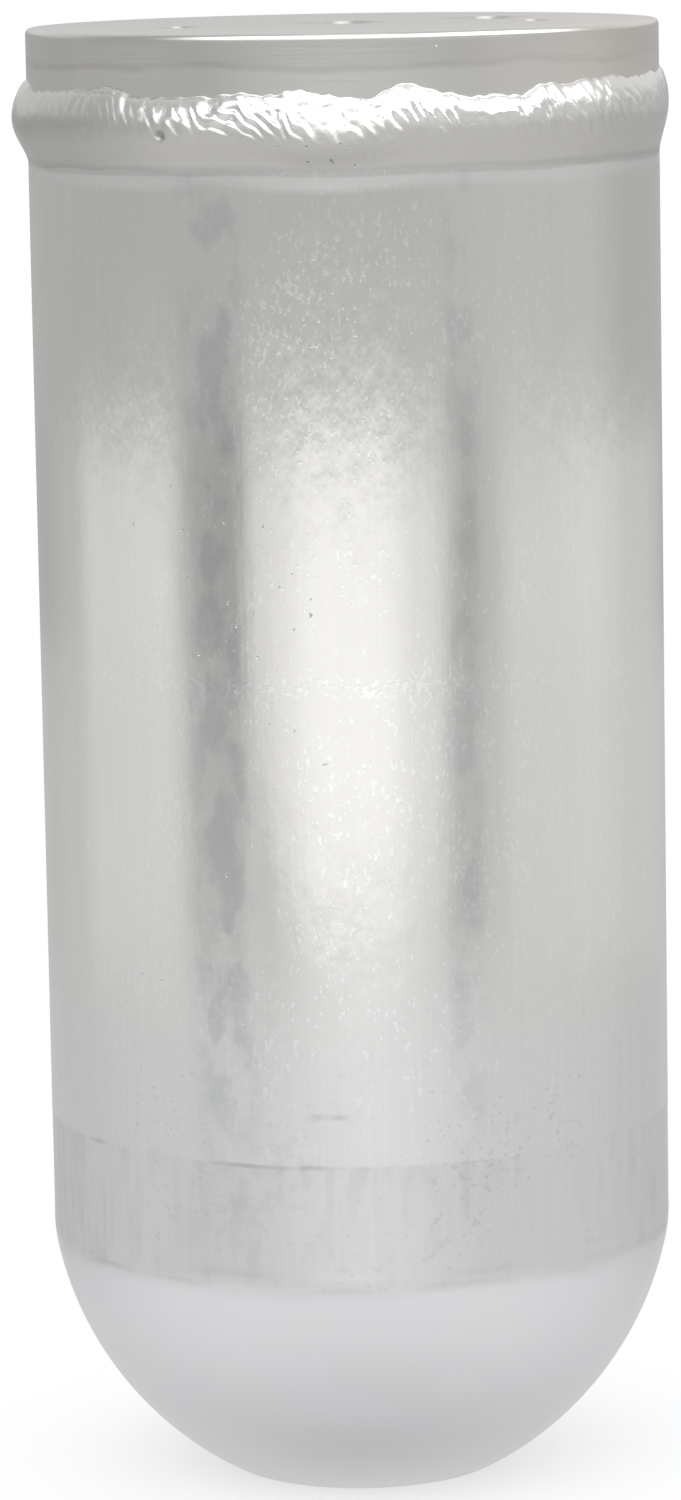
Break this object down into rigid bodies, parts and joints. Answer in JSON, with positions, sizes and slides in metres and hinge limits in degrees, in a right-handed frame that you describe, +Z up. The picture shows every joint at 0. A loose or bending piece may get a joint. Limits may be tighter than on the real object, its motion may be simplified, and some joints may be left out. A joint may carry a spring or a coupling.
{
  "type": "filter drier",
  "caption": "Upright round aluminium receiver drier with a domed bottom, welded flat head, ports and tapped holes in its top face.",
  "frame": {"origin": "centre of the flat foot under the dome", "axes": "+Z up the can's axis to the head, +Y away from the viewer of the picture, +X to its right, towards the inlet port"},
  "size_m": [0.0796, 0.0796, 0.1774],
  "materials": {
    "drawn_aluminium": "drawn, vertically streaked, semi-bright",
    "turned_aluminium": "turned, satin",
    "weld_aluminium": "bright rippled weld",
    "tube_aluminium": "drawn tube, mill finish",
    "plated_steel": "zinc plated pressing",
    "spring_steel": "ground flat wire",
    "gauze_steel": "woven stainless wire cloth",
    "felt": "white needled felt",
    "molecular_sieve": "matt beige beads",
    "cage_plastic": "moulded natural nylon"
  },
  "bodies": {
    "root": {"canister": "drawn_aluminium", "head": "turned_aluminium", "weld_bead": "weld_aluminium", "pickup_tube": "tube_aluminium", "strainer_cage": "cage_plastic", "strainer_gauze": "gauze_steel", "lower_plate": "plated_steel", "lower_pad": "felt", "desiccant": "molecular_sieve", "upper_pad": "felt", "upper_plate": "plated_steel", "compression_spring": "spring_steel"}
  },
  "joints": []
}
